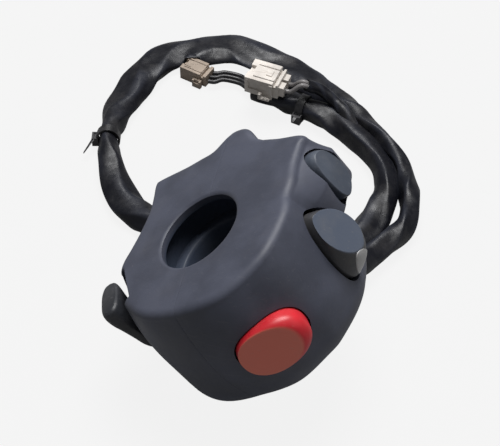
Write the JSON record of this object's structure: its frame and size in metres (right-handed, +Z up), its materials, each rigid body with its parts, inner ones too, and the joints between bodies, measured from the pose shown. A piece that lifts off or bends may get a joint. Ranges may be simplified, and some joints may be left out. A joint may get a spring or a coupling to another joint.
{
  "type": "handlebar switch cluster",
  "caption": "Left-hand motorcycle switch housing for a tube handlebar, with horn button, turn signal knob, dimmer rocker, passing lever and a looped wiring harness with connectors.",
  "frame": {"origin": "on the handlebar axis, halfway along the housing's bore", "axes": "+Z up from the table that the part lies on, +Y towards the looped harness, +X to the side of the thumb controls; the bar axis lies in the XZ plane and leans 36 degrees from +Z towards -X"},
  "size_m": [0.1023, 0.1439, 0.0591],
  "materials": {
    "housing_plastic": "dark blue-grey moulded plastic with a fine grain, dusty and lightly scuffed",
    "plated_steel": "zinc-plated steel",
    "brass": "plain brass",
    "spring_steel": "drawn spring wire",
    "switch_black": "black moulded switch base",
    "horn_red": "red plastic with a worn brown-orange thumb face",
    "knob_grey": "grey plastic, paler on the thumb pad",
    "marker_white": "off-white inlay",
    "rocker_grey": "satin dark grey plastic",
    "lever_black": "satin black plastic",
    "natural_nylon": "natural nylon",
    "elbow_rubber": "black moulded rubber",
    "sleeve_vinyl": "limp black vinyl sleeve, creased",
    "wire_black": "insulated wire",
    "wire_grey": "insulated wire",
    "connector_white": "aged white nylon",
    "connector_beige": "aged beige nylon",
    "tinned_brass": "tinned terminal",
    "tie_black": "black nylon tie"
  },
  "bodies": {
    "housing": {"front_half": "housing_plastic", "rear_half": "housing_plastic", "housing_screws": "plated_steel", "screw_inserts": "brass", "base_screws": "plated_steel", "horn_spring": "spring_steel", "horn_base": "switch_black", "horn_terminals": "brass", "turn_pivot_pin": "plated_steel", "turn_base": "switch_black", "turn_terminals": "brass", "detent_ball": "plated_steel", "detent_spring": "spring_steel", "dimmer_pin": "plated_steel", "dimmer_base": "switch_black", "dimmer_leaf": "brass", "pass_pin": "plated_steel", "pass_spring": "spring_steel", "pass_switch": "switch_black", "pass_plunger": "natural_nylon", "inner_wires": "wire_black", "cable_elbow": "elbow_rubber", "harness_sleeve": "sleeve_vinyl", "end_wires": "wire_black", "branch_sleeve": "sleeve_vinyl", "branch_wires": "wire_grey", "white_connector": "connector_white", "white_latch": "connector_white", "beige_connector": "connector_beige", "connector_terminals": "tinned_brass", "cable_ties": "tie_black"},
    "horn": {"horn_button": "horn_red", "horn_bridge": "brass"},
    "turn_lever": {"turn_lever": "natural_nylon", "turn_wiper": "brass", "turn_cancel_spring": "spring_steel"},
    "turn_knob": {"turn_knob": "knob_grey", "turn_marker": "marker_white"},
    "dimmer": {"dimmer_rocker": "rocker_grey"},
    "pass_lever": {"pass_lever": "lever_black"}
  },
  "joints": [
    {"name": "horn_press", "type": "slide", "parent": "housing", "child": "horn", "axis": [-0.4287, 0.848, -0.3115], "range_m": [0, 0.0025], "stiffness_N_per_m": 1200, "springref_m": -0.002, "deforming": ["horn_spring"]},
    {"name": "turn_swing", "type": "hinge", "parent": "housing", "child": "turn_lever", "pos_m": [0.01323, 0, 0.01394], "axis": [0, 1, 0], "range_deg": [-7, 7]},
    {"name": "turn_push", "type": "slide", "parent": "turn_lever", "child": "turn_knob", "axis": [-0.809, 0, -0.5878], "range_m": [0, 0.0015], "stiffness_N_per_m": 1500, "springref_m": -0.001, "deforming": ["turn_cancel_spring"]},
    {"name": "dimmer_rock", "type": "hinge", "parent": "housing", "child": "dimmer", "pos_m": [0.01291, 0.0172, 0.02051], "axis": [-0.5878, 0, 0.809], "range_deg": [-10, 0]},
    {"name": "pass_pull", "type": "hinge", "parent": "housing", "child": "pass_lever", "pos_m": [-0.01166, -0.01056, -0.01775], "axis": [-0.3798, 0.8829, -0.2759], "range_deg": [0, 6.5], "stiffness_Nm_per_rad": 0.4, "springref_deg": -5.73, "deforming": ["pass_spring"]}
  ]
}
